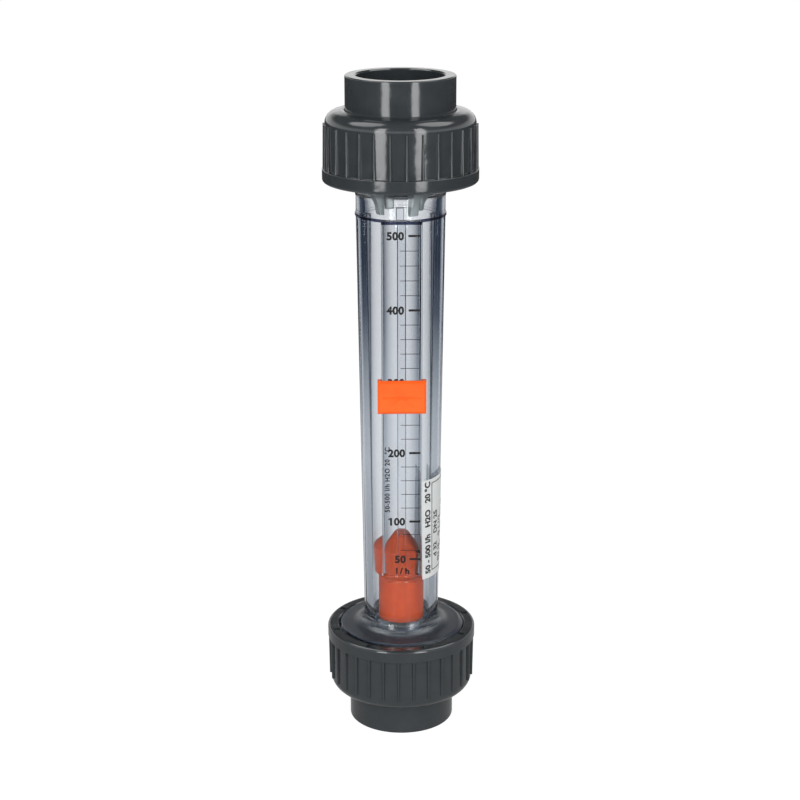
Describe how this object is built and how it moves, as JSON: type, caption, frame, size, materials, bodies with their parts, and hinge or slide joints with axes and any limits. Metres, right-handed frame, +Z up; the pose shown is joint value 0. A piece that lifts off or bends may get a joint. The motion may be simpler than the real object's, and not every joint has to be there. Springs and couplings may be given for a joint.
{
  "type": "rotameter",
  "caption": "Clear variable-area flow meter with a tapered tube, orange float, sliding setpoint marker and ribbed union nuts on socket connectors.",
  "frame": {"origin": "centre of the lower connector's end face, which the part stands on", "axes": "+Z up along the tube in the direction of flow, -Y towards the scale, +X towards the label"},
  "size_m": [0.0568, 0.0568, 0.25],
  "materials": {
    "clear_tube": "clear, glossy",
    "float_orange": "satin",
    "stop_plastic": "satin, slightly translucent",
    "o_ring_rubber": "matt",
    "grey_pvc": "moulded satin",
    "slider_orange": "moulded gloss",
    "label_white": "printed film"
  },
  "bodies": {
    "tube": {"measuring_tube": "clear_tube", "lower_stop": "stop_plastic", "upper_stop": "stop_plastic", "lower_o_ring": "o_ring_rubber", "upper_o_ring": "o_ring_rubber", "label": "label_white"},
    "float": {"float": "float_orange"},
    "setpoint": {"setpoint_slider": "slider_orange"},
    "lower_end": {"lower_connector": "grey_pvc"},
    "lower_nut": {"lower_union_nut": "grey_pvc"},
    "upper_end": {"upper_connector": "grey_pvc"},
    "upper_nut": {"upper_union_nut": "grey_pvc"}
  },
  "joints": [
    {"name": "float_rise", "type": "slide", "parent": "tube", "child": "float", "axis": [0, 0, 1], "range_m": [0, 0.1265]},
    {"name": "setpoint_slide", "type": "slide", "parent": "tube", "child": "setpoint", "axis": [0, -0.014, 0.9999], "range_m": [-0.064, 0.0586]},
    {"name": "lower_end_draw", "type": "slide", "parent": "tube", "child": "lower_end", "axis": [0, 0, -1], "range_m": [0, 0.01155]},
    {"name": "lower_nut_turn", "type": "hinge", "parent": "lower_end", "child": "lower_nut", "pos_m": [0, 0, 0.025], "axis": [0, 0, -1], "range_deg": [0, 1800]},
    {"name": "upper_end_draw", "type": "slide", "parent": "tube", "child": "upper_end", "axis": [0, 0, 1], "range_m": [0, 0.01155]},
    {"name": "upper_nut_turn", "type": "hinge", "parent": "upper_end", "child": "upper_nut", "pos_m": [0, 0, 0.225], "axis": [0, 0, 1], "range_deg": [0, 1800]}
  ],
  "couplings": [
    {"joint": "lower_end_draw", "follows": "lower_nut_turn", "m_per_rad": 0.0003675},
    {"joint": "upper_end_draw", "follows": "upper_nut_turn", "m_per_rad": 0.0003675}
  ]
}
